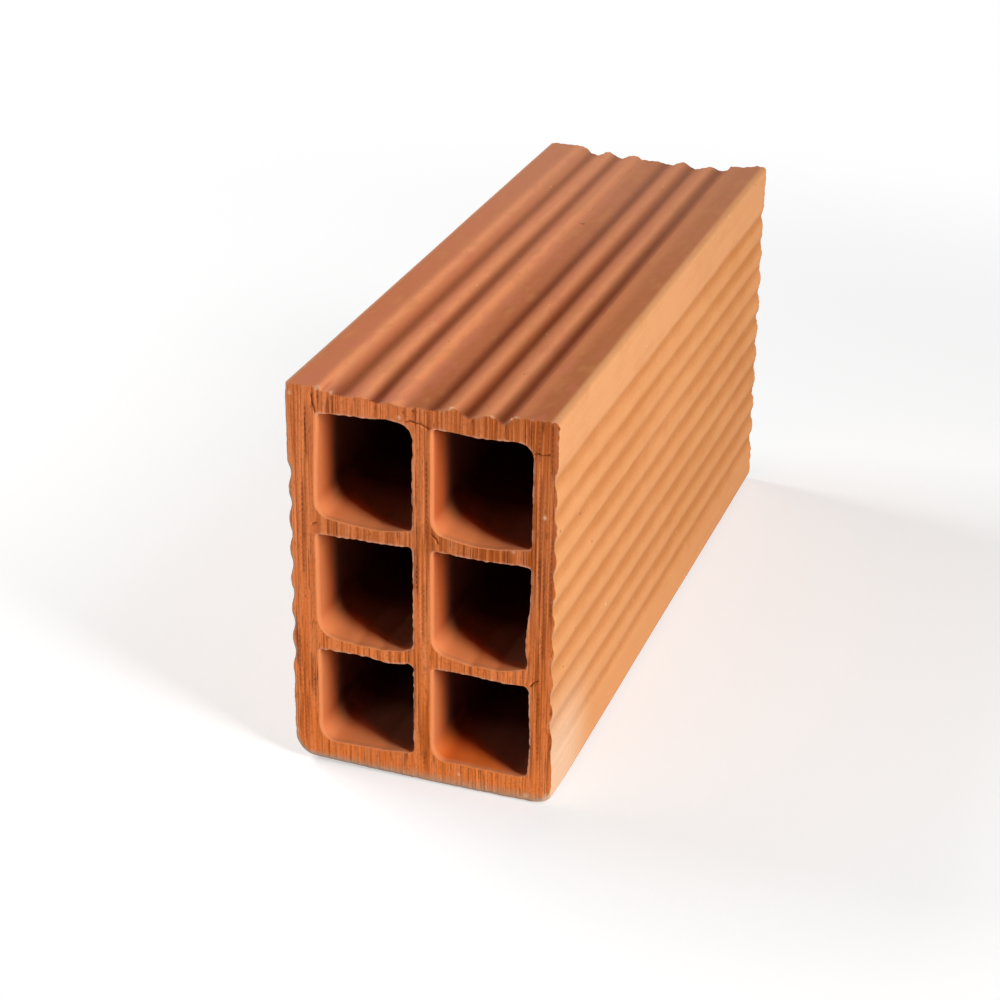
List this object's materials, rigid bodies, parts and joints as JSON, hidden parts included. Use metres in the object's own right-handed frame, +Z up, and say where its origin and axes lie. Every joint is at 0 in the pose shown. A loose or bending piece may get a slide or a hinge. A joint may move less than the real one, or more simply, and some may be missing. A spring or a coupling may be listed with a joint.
{
  "type": "hollow clay brick",
  "caption": "Fired clay building brick with through cells, ribbed flanks and a combed top face, laid in mortar to build walls and partitions.",
  "frame": {"origin": "middle of the bed, the flat face that the brick stands on", "axes": "+Z up from the bed to the combed roof, +Y along the cells, +X across the brick"},
  "size_m": [0.08, 0.24, 0.12],
  "materials": {
    "fired_clay": "matt, unglazed, wire cut at the ends"
  },
  "bodies": {
    "root": {"hollow_brick": "fired_clay"}
  },
  "joints": []
}
